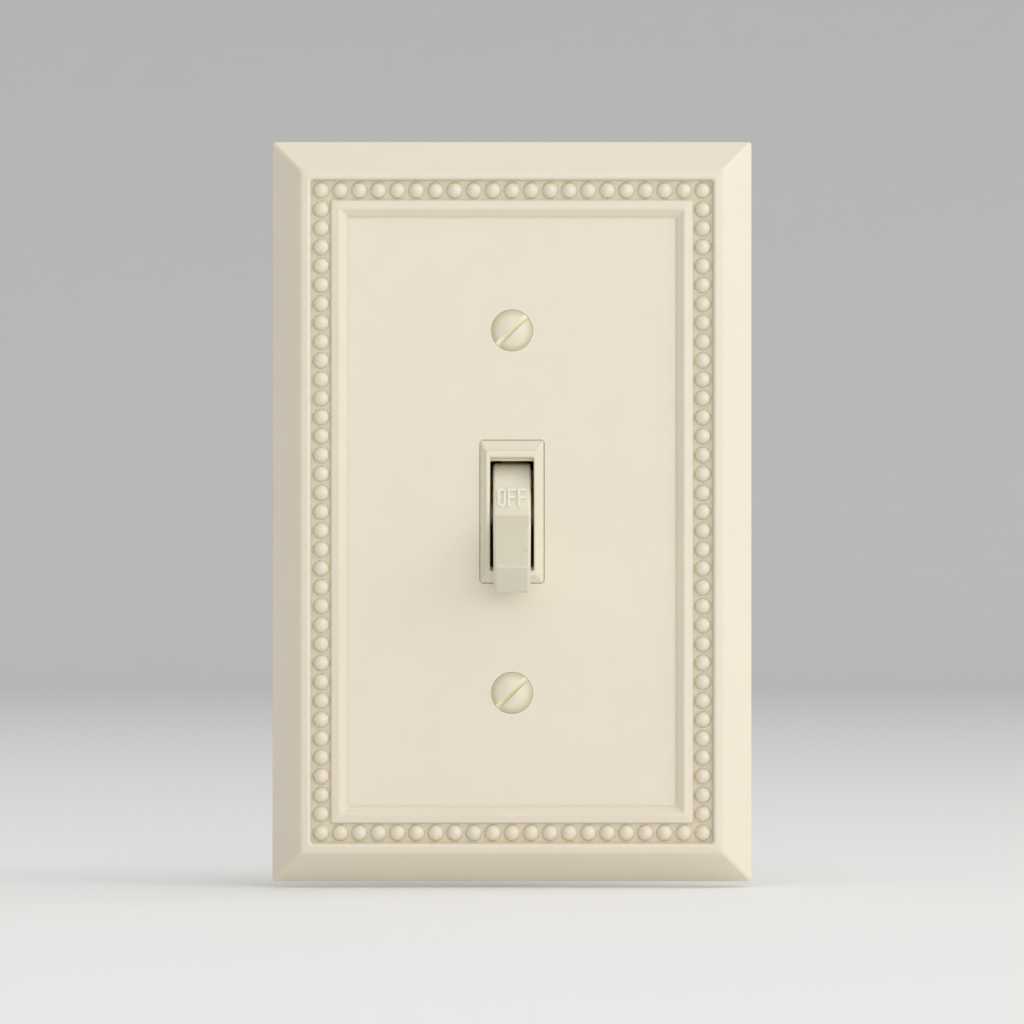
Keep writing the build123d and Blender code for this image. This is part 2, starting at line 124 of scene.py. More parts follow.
def round_ring(bm, radius, height, centre, segments=48):
    """Ring of edges round a circle that faces the front."""
    spot = Matrix.Translation((centre[0], -height, centre[1]))
    circle = bmesh.ops.create_circle(
        bm, cap_ends=False, radius=radius, segments=segments,
        matrix=spot @ Matrix.Rotation(math.pi / 2, 4, "X"),
    )
    return sorted({e for v in circle["verts"] for e in v.link_edges}, key=lambda e: e.index)


def extruded(bm, ring):
    """Extrudes a ring of edges where it stands, and returns its new vertices and edges."""
    grown = bmesh.ops.extrude_edge_only(bm, edges=ring)["geom"]
    verts = [part for part in grown if isinstance(part, bmesh.types.BMVert)]
    new = set(verts)
    edges = [p for p in grown if isinstance(p, bmesh.types.BMEdge) and new.issuperset(p.verts)]
    return verts, edges


def follow(bm, ring, path, centre=(0, 0), spread=(1, 1, 1)):
    """Extrudes a ring along a section of (inset, height), with mitred corners.

    Spread widens the inset at the sides, the top and the bottom.
    """
    for (inset, height), (next_inset, next_height) in zip(path, path[1:]):
        verts, ring = extruded(bm, ring)
        step = next_inset - inset
        for v in verts:
            v.co.x -= step * math.copysign(spread[0], v.co.x - centre[0])
            widening = spread[1] if v.co.z > centre[1] else spread[2]
            v.co.z -= step * math.copysign(widening, v.co.z - centre[1])
            v.co.y -= next_height - height
    return ring


def follow_round(bm, ring, path, centre):
    """Extrudes a round ring along a section of (radius, height)."""
    middle = Vector((centre[0], 0, centre[1]))
    for (radius, height), (next_radius, next_height) in zip(path, path[1:]):
        verts, ring = extruded(bm, ring)
        for v in verts:
            out = (v.co - middle) * (next_radius / radius)
            v.co = Vector((centre[0] + out.x, v.co.y - (next_height - height), centre[1] + out.z))
    return ring


def turned(bm, profile, place, steps=48):
    """Adds a solid of revolution from a profile of (radius, distance along), set by a matrix."""
    shape = bmesh.new()
    points = [shape.verts.new((radius, 0, along)) for radius, along in profile]
    edges = [shape.edges.new(pair) for pair in zip(points, points[1:])]
    bmesh.ops.spin(
        shape, geom=points + edges, cent=(0, 0, 0), axis=(0, 0, 1), angle=2 * math.pi, steps=steps,
        use_merge=True, use_normal_flip=False, use_duplicate=False,
    )
    bmesh.ops.remove_doubles(shape, verts=shape.verts, dist=1e-4)
    join(bm, shape, place)


def join(bm, shape, place):
    """Adds a shape, set in place by a matrix, to the mesh of the piece it belongs to."""
    bmesh.ops.transform(shape, matrix=place, verts=shape.verts)
    mesh = bpy.data.meshes.new("shape")
    shape.to_mesh(mesh)
    shape.free()
    bm.from_mesh(mesh)
    bpy.data.meshes.remove(mesh)


def facing_front(x=0.0, z=0.0):
    """Matrix that turns local Z to -Y, so that a shape drawn upright faces out of the wall."""
    return Matrix.Translation((x, 0, z)) @ Matrix.Rotation(math.pi / 2, 4, "X")


def fill_between(bm, rings, facing):
    """Fills the flat face that the rings bound."""
    edges = [e for ring in rings for e in ring]
    bmesh.ops.triangle_fill(bm, edges=edges, use_beauty=True, use_dissolve=False, normal=facing)


def make_piece(bm, name, finish, body, cuts=(), added=None, soften=0.0, sharp=38):
    """Turns a mesh in millimetres into a piece that rides on a body.

    The cuts are taken out of it first, and then what has to stay whole is added.
    """
    objects = []
    for number, shape in enumerate([bm, *cuts]):
        bmesh.ops.scale(shape, vec=(MM, MM, MM), verts=shape.verts)
        bmesh.ops.recalc_face_normals(shape, faces=shape.faces)
        mesh = bpy.data.meshes.new(name if number == 0 else f"{name}_cut")
        shape.to_mesh(mesh)
        shape.free()
        objects.append(bpy.data.objects.new(mesh.name, mesh))
        bpy.context.scene.collection.objects.link(objects[-1])
    piece, cutters = objects[0], objects[1:]
    for cutter in cutters:
        boolean = piece.modifiers.new("Cut", "BOOLEAN")
        boolean.object = cutter
        boolean.solver = "EXACT"
    if cutters:
        uncut = piece.data
        graph = bpy.context.evaluated_depsgraph_get()
        piece.data = bpy.data.meshes.new_from_object(piece.evaluated_get(graph))
        piece.data.name = name
        piece.modifiers.clear()
        bpy.data.meshes.remove(uncut)
        for cutter in cutters:
            bpy.data.meshes.remove(cutter.data)
    if added:
        bmesh.ops.scale(added, vec=(MM, MM, MM), verts=added.verts)
        bmesh.ops.recalc_face_normals(added, faces=added.faces)
        added.from_mesh(piece.data)
        added.to_mesh(piece.data)
        added.free()
    piece.data.materials.clear()
    piece.data.materials.append(finish)
    piece.data.shade_smooth()
    if soften:
        bevel = piece.modifiers.new("Soft edges", "BEVEL")
        bevel.width = soften * MM
        bevel.segments = 2
        bevel.limit_method = "ANGLE"
        bevel.angle_limit = math.radians(sharp)
        bevel.harden_normals = False
    else:
        piece.data.set_sharp_from_angle(angle=math.radians(sharp))
    weighted = piece.modifiers.new("Even shading", "WEIGHTED_NORMAL")
    weighted.keep_sharp = True
    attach(piece, body)
    return piece


def new_finish(name, colour, roughness, metallic=0.0):
    """A material with its shader, set to a colour, a roughness and a metalness."""
    finish = bpy.data.materials.new(name)
    finish.use_nodes = True
    shader = finish.node_tree.nodes["Principled BSDF"]
    shader.inputs["Base Color"].default_value = colour
    shader.inputs["Roughness"].default_value = roughness
    shader.inputs["Metallic"].default_value = metallic
    return finish, shader


def noise(finish, size, detail=3.0, stretch=(1, 1, 1)):
    """Noise whose grains are about this many millimetres, on the piece's own coordinates."""
    tree = finish.node_tree
    place = tree.nodes.new("ShaderNodeTexCoord")
    mapping = tree.nodes.new("ShaderNodeMapping")
    mapping.inputs["Scale"].default_value = stretch
    grain = tree.nodes.new("ShaderNodeTexNoise")
    grain.inputs["Scale"].default_value = 1 / (size * MM)
    grain.inputs["Detail"].default_value = detail
    tree.links.new(place.outputs["Object"], mapping.inputs["Vector"])
    tree.links.new(mapping.outputs["Vector"], grain.inputs["Vector"])
    return grain.outputs["Fac"]


def add_bump(finish, shader, height, depth, strength=1.0):
    """Raises the surface by up to depth millimetres where height is 1."""
    tree = finish.node_tree
    bump = tree.nodes.new("ShaderNodeBump")
    bump.inputs["Strength"].default_value = strength
    bump.inputs["Distance"].default_value = depth * MM
    tree.links.new(height, bump.inputs["Height"])
    tree.links.new(bump.outputs["Normal"], shader.inputs["Normal"])


def spread_of(finish, factor, low, high):
    """A value that runs from low to high as a factor runs over its middle range."""
    scale = finish.node_tree.nodes.new("ShaderNodeMapRange")
    scale.inputs["From Min"].default_value = 0.3
    scale.inputs["From Max"].default_value = 0.7
    scale.inputs["To Min"].default_value = low
    scale.inputs["To Max"].default_value = high
    finish.node_tree.links.new(factor, scale.inputs["Value"])
    return scale.outputs["Result"]


def mixed(finish, factor, first, second):
    """Colour between two colours, either of which may be another node's output."""
    tree = finish.node_tree
    mix = tree.nodes.new("ShaderNodeMix")
    mix.data_type = "RGBA"
    tree.links.new(factor, mix.inputs["Factor"])
    for socket, colour in ((mix.inputs["A"], first), (mix.inputs["B"], second)):
        if isinstance(colour, bpy.types.NodeSocket):
            tree.links.new(colour, socket)
        else:
            socket.default_value = colour
    return mix.outputs["Result"]


def sprayed_cream():
    """Satin cream paint, with a faint orange peel, and painted shade: a darker, warmer tone in the
    crevices.
    """
    finish, shader = new_finish("satin_cream_paint", cream, 0.38)
    tree = finish.node_tree
    crevice = tree.nodes.new("ShaderNodeAttribute")
    crevice.attribute_name = "crevice"
    uneven = spread_of(finish, noise(finish, 9.0), 0.0, 0.35)
    slightly_deeper = tuple(c * 0.955 for c in cream[:3]) + (1.0,)
    coat = mixed(finish, uneven, cream, slightly_deeper)
    tone = mixed(finish, crevice.outputs["Fac"], coat, cream_in_painted_shade)
    tree.links.new(tone, shader.inputs["Base Color"])
    tree.links.new(spread_of(finish, noise(finish, 3.0), 0.34, 0.42), shader.inputs["Roughness"])
    add_bump(finish, shader, noise(finish, 0.55, detail=2.0), 0.012)
    return finish


cream_paint = sprayed_cream()
plate = bmesh.new()

# Outer wall, bevel, crest and the drop to the bead channel
edge_centre = (edge_round, edge_height + edge_round * (1 - math.sqrt(2)))
border = (
    arc((back_round, back_round), back_round, 270, 180, 3)
    + arc(edge_centre, edge_round, 180, 135, 4)
    + [(4.25, 6.05), (4.46, 6.26), (4.64, 6.43), (4.82, 6.56)]
    + [(5.02, 6.65), (5.3, 6.71), (5.65, 6.75)]
    + arc(
        (channel_inset - drop_radius, border_height - drop_radius), drop_radius, 97, 0, 7
    )
    + [(channel_inset, channel_height)]
)
rim_back = rounded_ring(
    plate, half_width - back_round, half_height - back_round, 0, plate_corner
)
channel_outer = follow(plate, rim_back, border)

# Rim inside the beads, and its slope down to the panel
rim_section = (
    [(rim_inset, channel_height)]
    + arc((rim_inset + 0.4, rim_height - 0.55), 0.4, 180, 102, 5)
    + arc((11.15, rim_height - 0.6), 0.6, 96, 51, 5)
    + [(12.3, 5.741)]
    + arc((12.933, panel_height + 0.6), 0.6, 231, 270, 4)
)
channel_inner = rounded_ring(
    plate, half_width - rim_inset, half_height - rim_inset, channel_height, 0.3
)
panel_edge = follow(plate, channel_inner, rim_section)

fill_between(plate, [channel_outer, channel_inner], (0, -1, 0))

# Beads: one dome whose flared foot sinks into the channel, copied round the plate
bead_x = half_width - bead_inset
bead_z = half_height - bead_inset
bead_base = crest_height - bead_radius
bead_foot = [
    (0, channel_height - bead_sunk),
    (bead_foot_radius, channel_height - bead_sunk),
    (bead_neck_radius, channel_height + 0.03),
]
dome = bead_foot + [
    (bead_radius * math.cos(math.radians(a)), bead_base + bead_radius * math.sin(math.radians(a)))
    for a in (12, 24, 38, 52, 66, 79)
] + [(0, crest_height)]
bead_mesh = bmesh.new()
turned(bead_mesh, dome, facing_front(), steps=20)
bead_data = bpy.data.meshes.new("bead")
bead_mesh.to_mesh(bead_data)
bead_mesh.free()
rows = [
    (-bead_x + 2 * bead_x * i / (beads_across - 1), end * bead_z)
    for end in (1, -1) for i in range(beads_across)
]
columns = [
    (side * bead_x, -bead_z + 2 * bead_z * i / (beads_up - 1))
    for side in (1, -1) for i in range(1, beads_up - 1)
]
for x, z in rows + columns:
    before = len(plate.verts)
    plate.from_mesh(bead_data)
    plate.verts.ensure_lookup_table()
    bmesh.ops.translate(plate, vec=(x, 0, z), verts=plate.verts[before:])
bpy.data.meshes.remove(bead_data)

# Panel, with the opening for the switch and two countersunk screw holes
opening_front = rounded_ring(
    plate, opening[0] + opening_lip, opening[1] + opening_lip, panel_height, opening_corner
)
lip_section = arc((0, panel_height - opening_lip), opening_lip, 90, 0, 4)
opening_back = follow(plate, opening_front, lip_section + [(opening_lip, roof_height)])
countersink = [
    (countersink_radius, panel_height),
    (countersink_radius - 0.05, panel_height - 0.04),
    (countersink_radius - 0.08, panel_height - 0.14),
    (screw_hole_radius, 3.75),
    (screw_hole_radius, roof_height),
]
hole_centres = [(0, screw_hole_z), (0, -screw_hole_z)]
hole_fronts = [round_ring(plate, countersink_radius, panel_height, spot) for spot in hole_centres]
hole_backs = [
    follow_round(plate, ring, countersink, spot) for ring, spot in zip(hole_fronts, hole_centres)
]
fill_between(plate, [panel_edge, opening_front, *hole_fronts], (0, -1, 0))

# Rear: the rim that rests on the wall, and the hollow inside it
pocket_mouth = rounded_ring(
    plate, half_width - pocket_inset, half_height - pocket_inset, 0, pocket_corner
)
fill_between(plate, [rim_back, pocket_mouth], (0, 1, 0))
pocket_section = [(0, 0), (0.05, roof_height - 0.5), (0.5, roof_height)]
pocket_roof = follow(plate, pocket_mouth, pocket_section)
fill_between(plate, [pocket_roof, opening_back, *hole_backs], (0, 1, 0))

# Painted shade: darker low in the bead channel, fading with height, and along the foot of the rim's
# slope.
crevice_shade_of = []
for v in plate.verts:
    inset = min(half_width - abs(v.co.x), half_height - abs(v.co.z))
    above_floor = -v.co.y - channel_height
    if channel_inset - 0.3 < inset < rim_inset + 0.2 and above_floor > -0.2:
        crevice_shade_of.append(min(1.0, max(0.0, 1 - above_floor / crevice_shade_fade)))
    elif panel_foot_shade_line[0] < inset < panel_foot_shade_line[1]:
        crevice_shade_of.append(0.9)
    else:
        crevice_shade_of.append(0.0)
beaded_plate = make_piece(plate, "beaded_plate", cream_paint, "housing")
shade_attribute = beaded_plate.data.attributes.new("crevice", "FLOAT", "POINT")
shade_attribute.data.foreach_set("value", crevice_shade_of)
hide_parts("wall_plate")

# ---- Plate screws ----
# Slotted oval-head machine screws, head sprayed with the plate and the thread left zinc plated.
# Each is turned in one piece, with the slot cut across the head on a slant.
thread_pitch = 0.794
thread_radius = 1.75
thread_depth = 0.5
thread_flank = 0.36
plate_screw_low, plate_screw_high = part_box("plate_screws")
head_top = -plate_screw_low[1] / MM
shank_end = plate_screw_high[1] / MM


def add_thread(bm, start, end, place, radius=thread_radius, steps=16):
    """Screw thread round the local Z axis, from start to end, as one helical ridge."""
    root = radius - thread_depth
    ridge_section = [(root, -thread_flank), (radius, -0.05), (radius, 0.05), (root, thread_flank)]
    ridge = bmesh.new()
    face = ridge.faces.new(
        [ridge.verts.new((r, 0, start + thread_flank + z)) for r, z in ridge_section]
    )
    rise = end - start - 2 * thread_flank
    turns = rise / thread_pitch
    count = round(turns * steps)
    bmesh.ops.spin(
        ridge, geom=[face, *face.edges, *face.verts], cent=(0, 0, 0), axis=(0, 0, 1),
        dvec=(0, 0, rise / count), angle=2 * math.pi * turns, steps=count,
        use_merge=False, use_normal_flip=False, use_duplicate=False,
    )
    join(bm, ridge, place)


def slot_cutter(width, depth_from, depth_to, length, turn, place):
    """Bar that cuts a screw slot, turned about the screw's axis."""
    cutter = bmesh.new()
    size = Matrix.Diagonal((length, width, depth_to - depth_from, 1))
    middle = Matrix.Translation((0, 0, (depth_from + depth_to) / 2))
    turned_place = place @ Matrix.Rotation(turn, 4, "Z")
    bmesh.ops.create_cube(cutter, size=1, matrix=turned_place @ middle @ size)
    return cutter


def sprayed_screw():
    """The plate's cream paint, glossier, giving way to zinc down the shank. Painted shade darkens a
    ring round the edge of the dome, and painted light brightens the upper-left half of the slot
    floor."""
    # Tones: the head, the painted shade at the dome's edge, and the painted light in the slot.
    head_cream, rim_shade_cream = (0.775, 0.705, 0.57, 1.0), (0.58, 0.53, 0.33, 1.0)
    slot_lit_cream = (0.95, 0.89, 0.64, 1.0)
    finish, shader = new_finish("satin_cream_screws", cream, 0.32)
    tree = finish.node_tree
    place = tree.nodes.new("ShaderNodeTexCoord")
    parts = tree.nodes.new("ShaderNodeSeparateXYZ")
    tree.links.new(place.outputs["Object"], parts.inputs["Vector"])
    bare = tree.nodes.new("ShaderNodeMapRange")
    bare.inputs["From Min"].default_value = -3.9 * MM
    bare.inputs["From Max"].default_value = -3.3 * MM
    tree.links.new(parts.outputs["Y"], bare.inputs["Value"])
    pooled_dye_and_rim_shade = tree.nodes.new("ShaderNodeAttribute")
    pooled_dye_and_rim_shade.attribute_name = "crevice"
    head = mixed(finish, pooled_dye_and_rim_shade.outputs["Fac"], head_cream, rim_shade_cream)
    slot_light = tree.nodes.new("ShaderNodeAttribute")
    slot_light.attribute_name = "paint_run"
    head_with_painted_shading = mixed(finish, slot_light.outputs["Fac"], head, slot_lit_cream)
    zinc = mixed(finish, noise(finish, 1.2), (0.56, 0.55, 0.53, 1.0), (0.66, 0.66, 0.65, 1.0))
    tree.links.new(mixed(finish, bare.outputs["Result"], head_with_painted_shading, zinc), shader.inputs["Base Color"])
    tree.links.new(bare.outputs["Result"], shader.inputs["Metallic"])
    add_bump(finish, shader, noise(finish, 0.4, detail=2.0), 0.008)
    return finish


seat = 5.4
head_radius = 3.4
slot_floor = 5.35
slot_wide = 0.92
slot_slant = math.radians(45)
thread_top = 3.3
dome_rise = head_top - seat
dome_radius = (head_radius ** 2 + dome_rise ** 2) / (2 * dome_rise)
dome_angle = math.degrees(math.asin(head_radius / dome_radius))
oval_head = [
    (dome_radius * math.sin(a), head_top - dome_radius * (1 - math.cos(a)))
    for a in [math.radians(dome_angle * i / 8) for i in range(8)]
]
oval_screw = (
    oval_head
    + [(head_radius - 0.04, seat + 0.05), (head_radius, seat - 0.02)]
    + [(head_radius - 0.03, seat - 0.08)]
    + [(1.5, 3.45), (1.3, 3.2), (1.3, -shank_end + 0.5), (0.9, -shank_end), (0, -shank_end)]
)
screws = bmesh.new()
screw_threads = bmesh.new()
slots = []
for z in (screw_hole_z, -screw_hole_z):
    turned(screws, oval_screw, facing_front(0, z), steps=64)
    add_thread(screw_threads, -shank_end + 0.1, thread_top, facing_front(0, z))
    slots.append(slot_cutter(slot_wide, slot_floor, 7, 9, slot_slant, facing_front(0, z)))
plate_screws = make_piece(
    screws, "oval_head_screws", sprayed_screw(), "housing", cuts=slots,
    added=screw_threads, sharp=30,
)
# Painted shade: a darker ring round each dome's edge. Painted light: the upper-left half of the
# slot floor at full strength, the rest of it weaker.
rim_shade_from = 2.35
rim_shade_to = 3.2
rim_shade_of = []
slot_light_of = []
for v in plate_screws.data.vertices:
    from_screw = Vector((v.co.x / MM, v.co.z / MM - math.copysign(screw_hole_z, v.co.z)))
    height = -v.co.y / MM
    on_dome = height > seat - 0.15
    pooled_dye_and_rim_shade = min(1.0, max(0.0, (from_screw.length - rim_shade_from) / (rim_shade_to - rim_shade_from)))
    rim_shade_of.append(pooled_dye_and_rim_shade if on_dome else 0.0)
    on_slot_floor = abs(height - slot_floor) < 0.01 and from_screw.length < head_radius
    slot_light_of.append((1.0 if from_screw.y > from_screw.x else 0.35) if on_slot_floor else 0.0)
for attribute_name, values in (("crevice", rim_shade_of), ("paint_run", slot_light_of)):
    attribute = plate_screws.data.attributes.new(attribute_name, "FLOAT", "POINT")
    attribute.data.foreach_set("value", values)
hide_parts("plate_screws")

# ---- Toggle lever ----
# The lever and its drum are one ivory moulding, with raised words on the drum, stub trunnions,
# and a boss with a peg that holds the spring. It is drawn along its own axis and then turned.
pivot = Vector((0, 1.5, -0.4))
lever_tilt = math.radians(30)
drum_radius = 8.5
drum_width = 6.27
rim_round = 0.5
lever_length = 21.74
tip_width = 5.95
tip_half = 2.65
root_angle = 30.3
ivory = (0.765, 0.710, 0.565, 1.0)
# Tones for the painted shade on the lever, the pale letters and painted edge highlight, and the
# painted light on the drum's upper part.
lever_shaded_ivory = (0.66, 0.622, 0.50, 1.0)
letter_and_highlight_ivory = (0.86, 0.815, 0.69, 1.0)
drum_lit_ivory = (0.93, 0.90, 0.80, 1.0)
drum_light_from = math.radians(60)
drum_light_to = math.radians(90)

# Lever's own axes: X to the right, Y out along the lever, Z across it, towards ON
lever_axes = Matrix((
    (1, 0, 0, 0),
    (0, -math.cos(lever_tilt), -math.sin(lever_tilt), pivot.y),
    (0, -math.sin(lever_tilt), math.cos(lever_tilt), pivot.z),
    (0, 0, 0, 1),
))
lever_out = Vector((0, -math.cos(lever_tilt), -math.sin(lever_tilt)))


def moulded_ivory():
    """Ivory thermoplastic with a soft gloss and faint flow marks. Painted shade tones the lever
    beyond the drum darker; the raised letters are paler, a painted highlight runs along the lever's
    rounded side edges, and painted light makes the drum's upper part paler where it turns away
    under the frame."""
    finish, shader = new_finish("ivory_plastic", ivory, 0.3)
    tree = finish.node_tree
    flow = spread_of(finish, noise(finish, 6.0, stretch=(1, 1, 0.35)), 0.0, 0.4)
    tone = mixed(finish, flow, ivory, tuple(c * 0.95 for c in ivory[:3]) + (1.0,))
    # Painted light on the drum, painted shade on the lever, and pale letters with a painted edge
    # highlight, in that order.
    shades = (
        ("sheltered", drum_lit_ivory), ("handled", lever_shaded_ivory), ("raised", letter_and_highlight_ivory)
    )
    for name, shade in shades:
        painted_light_and_letter_mask = tree.nodes.new("ShaderNodeAttribute")
        painted_light_and_letter_mask.attribute_name = name
        tone = mixed(finish, painted_light_and_letter_mask.outputs["Fac"], tone, shade)
    tree.links.new(tone, shader.inputs["Base Color"])
    tree.links.new(spread_of(finish, noise(finish, 1.6), 0.26, 0.36), shader.inputs["Roughness"])
    shader.inputs["Subsurface Weight"].default_value = 0.2
    shader.inputs["Subsurface Scale"].default_value = 0.0012
    shader.inputs["Subsurface Radius"].default_value = (1.0, 0.8, 0.5)
    add_bump(finish, shader, noise(finish, 0.25, detail=2.0), 0.006)
    return finish


def letter_outlines(letter):
    """Outlines of a plain letter, 1.46 wide and 3.16 high, as lists of (across, up)."""
    w, h, s = 0.73, 1.58, 0.44
    if letter == "F":
        return [[
            (-w, -h), (-w + s, -h), (-w + s, -0.18), (w - 0.25, -0.18), (w - 0.25, s - 0.18),
            (-w + s, s - 0.18), (-w + s, h - s), (w, h - s), (w, h), (-w, h),
        ]]
    if letter == "N":
        return [[
            (-w, -h), (-w + s, -h), (-w + s, 0.5), (w - s, -h), (w, -h), (w, h), (w - s, h),
            (w - s, -0.5), (-w + s, h), (-w, h),
        ]]
    return [
        [(-x, -y + c), (-x + c, -y), (x - c, -y), (x, -y + c),
         (x, y - c), (x - c, y), (-x + c, y), (-x, y - c)]
        for x, y, c in ((w, h, 0.45), (w - s, h - s, 0.16))
    ]


def raise_word(bm, word, spacing, angle):
    """Raises a word on the drum, centred at an angle from the lever's axis."""
    start = -spacing * (len(word) - 1) / 2
    for number, letter in enumerate(word):
        flat = bmesh.new()
        for outline in letter_outlines(letter):
            corners = [flat.verts.new((u + start + number * spacing, 0, v)) for u, v in outline]
            for a, b in zip(corners, corners[1:] + corners[:1]):
                flat.edges.new((a, b))
        long_edges = [e for e in flat.edges if e.calc_length() > 0.6]
        bmesh.ops.subdivide_edges(flat, edges=long_edges, cuts=3)
        bmesh.ops.triangle_fill(
            flat, edges=list(flat.edges), use_beauty=True, use_dissolve=False, normal=(0, 1, 0)
        )
        base = list(flat.faces)
        raised = bmesh.ops.extrude_face_region(flat, geom=base, use_keep_orig=True)["geom"]
        tops = {p for p in raised if isinstance(p, bmesh.types.BMVert)}
        for v in flat.verts:
            turn = angle + v.co.z / drum_radius
            radius = drum_radius + (0.26 if v in tops else -0.3)
            v.co = Vector((v.co.x, radius * math.cos(turn), radius * math.sin(turn)))
        join(bm, flat, Matrix.Identity(4))


def toggle_outline():
    """Side view of the lever and drum, as (out along the lever, across it)."""
    root_x = drum_radius * math.cos(math.radians(root_angle))
    root_z = drum_radius * math.sin(math.radians(root_angle))
    slope = (root_z - tip_half) / (lever_length - root_x)
    corner = 0.55
    tip = [(lever_length - corner + corner * math.sin(a), tip_half - corner + corner * math.cos(a))
           for a in [math.radians(15 * i) for i in range(7)]]
    flank = [(root_x + 0.9, root_z - 0.9 * slope + 0.03), (root_x + 0.35, root_z + 0.06)]
    drum = [
        (drum_radius * math.cos(math.radians(a)), drum_radius * math.sin(math.radians(a)))
        for a in [root_angle + 2.5 + (180 - root_angle - 2.5) * i / 36 for i in range(37)]
    ]
    upper = tip[::-1] + flank + drum
    return upper + [(y, -z) for y, z in upper[-2::-1]]


toggle = bmesh.new()
left_face = toggle.faces.new(
    [toggle.verts.new((-drum_width / 2, y, z)) for y, z in toggle_outline()]
)
grown = bmesh.ops.extrude_face_region(toggle, geom=[left_face])["geom"]
far_side = [p for p in grown if isinstance(p, bmesh.types.BMVert)]
bmesh.ops.translate(toggle, vec=(drum_width, 0, 0), verts=far_side)
side_faces = [f for f in toggle.faces if len(f.verts) > 4]
rim = sorted({e for f in side_faces for e in f.edges}, key=lambda e: e.index)
bmesh.ops.bevel(
    toggle, geom=rim, offset=rim_round, offset_type="OFFSET", segments=4, profile=0.5,
    affect="EDGES", clamp_overlap=False, material=-1,
)
for v in toggle.verts:
    along = max(0.0, v.co.y - drum_radius) / (lever_length - drum_radius)
    v.co.x *= 1 + (tip_width / drum_width - 1) * along
    near_end = min(1.0, max(0.0, v.co.y - lever_length + 0.45) / 0.45)
    v.co.x *= 1 - 0.1 * (1 - math.sqrt(1 - near_end ** 2))
rearward = Matrix.Rotation(math.pi / 2, 4, "X")
sideways = Matrix.Rotation(math.pi / 2, 4, "Y")
trunnion = [(0, -4.6), (1.75, -4.6), (1.93, -4.52), (2.0, -4.35)]
turned(toggle, trunnion + [(r, -z) for r, z in trunnion[::-1]], sideways, steps=32)
spring_boss = [(0, 8.0), (2.5, 8.0), (2.5, 8.85), (2.35, 9.0)]
spring_peg = [(1.3, 9.0), (1.3, 10.25), (1.05, 10.5), (0, 10.5)]
turned(toggle, spring_boss + spring_peg, rearward, steps=32)
raise_word(toggle, "OFF", 1.69, math.radians(48.6))
raise_word(toggle, "ON", 1.95, math.radians(-48.6))
bmesh.ops.transform(toggle, matrix=lever_axes, verts=toggle.verts)
ivory_plastic = moulded_ivory()
lever_shade_of = []
letter_and_highlight_of = []
drum_light_of = []
for v in toggle.verts:
    out = (v.co - pivot).dot(lever_out)
    from_pivot = math.hypot(v.co.y - pivot.y, v.co.z - pivot.z)
    # Painted shade: the lever beyond the drum is toned darker.
    lever_shade_of.append(min(1.0, max(0.0, (from_pivot - drum_radius - 0.3) / 0.6)))
    on_letter = drum_radius + 0.1 < from_pivot < drum_radius + 0.3 and out < 7.2
    # Pale letters, and a painted highlight along the lever's rounded side edges.
    edge_highlight = max(0.0, (abs(v.co.x) / (drum_width / 2) - 0.87) / 0.1) if out > 7.4 else 0.0
    letter_and_highlight_of.append(1.0 if on_letter else 0.45 * min(1.0, edge_highlight))
    # Painted light: the drum is painted paler as it turns back under the frame.
    turned_away = math.acos(max(-1.0, min(1.0, out / max(from_pivot, 0.1))))
    sheltered = (turned_away - drum_light_from) / (drum_light_to - drum_light_from)
    drum_light_of.append(min(1.0, max(0.0, sheltered)) if from_pivot > drum_radius - 1 else 0.0)
lever = make_piece(
    toggle, "toggle_lever_moulding", ivory_plastic, "toggle", sharp=32
)
for attribute_name, values in (
    ("handled", lever_shade_of), ("raised", letter_and_highlight_of), ("sheltered", drum_light_of)
):
    attribute = lever.data.attributes.new(attribute_name, "FLOAT", "POINT")
    attribute.data.foreach_set("value", values)
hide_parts("toggle_lever")

# ---- Toggle spring ----
# Compression spring of round wire between the lever's boss and the rocker, its end coils closed.
# It shortens and slews as the lever crosses over; it is shown at rest length.
wire_radius = 0.32
coil_radius = 2.2 - wire_radius
spring_from = 9.0
spring_to = 13.6
spring = bmesh.new()
wire_start = Matrix.Translation((coil_radius, 0, spring_from + wire_radius))
wire = bmesh.ops.create_circle(
    spring, cap_ends=True, radius=wire_radius, segments=10, matrix=wire_start @ rearward,
)["verts"]
wire_end = wire + [e for e in spring.edges] + [f for f in spring.faces]
closed_rise = 2 * wire_radius
open_turns = 3
open_rise = (spring_to - spring_from - 2 * wire_radius - 2 * closed_rise) / open_turns
for turns, rise in ((1, closed_rise), (open_turns, open_rise), (1, closed_rise)):
    wire_end = bmesh.ops.spin(
        spring, geom=wire_end, cent=(0, 0, 0), axis=(0, 0, 1), dvec=(0, 0, rise / 28),
        angle=2 * math.pi * turns, steps=28 * turns, use_merge=False, use_normal_flip=False,
        use_duplicate=False,
    )["geom_last"]
bmesh.ops.transform(spring, matrix=lever_axes @ rearward, verts=spring.verts)


def spring_wire():
    """Bright drawn steel wire, with fine marks along it."""
    finish, shader = new_finish("spring_wire", (0.42, 0.42, 0.43, 1.0), 0.3, metallic=1.0)
    tone = mixed(finish, noise(finish, 0.5), (0.36, 0.36, 0.37, 1.0), (0.50, 0.50, 0.50, 1.0))
    finish.node_tree.links.new(tone, shader.inputs["Base Color"])
    add_bump(finish, shader, noise(finish, 0.15, stretch=(1, 1, 4)), 0.004)
    return finish


toggle_spring = make_piece(
    spring, "toggle_coil_spring", spring_wire(), "toggle"
)
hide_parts("toggle_spring")

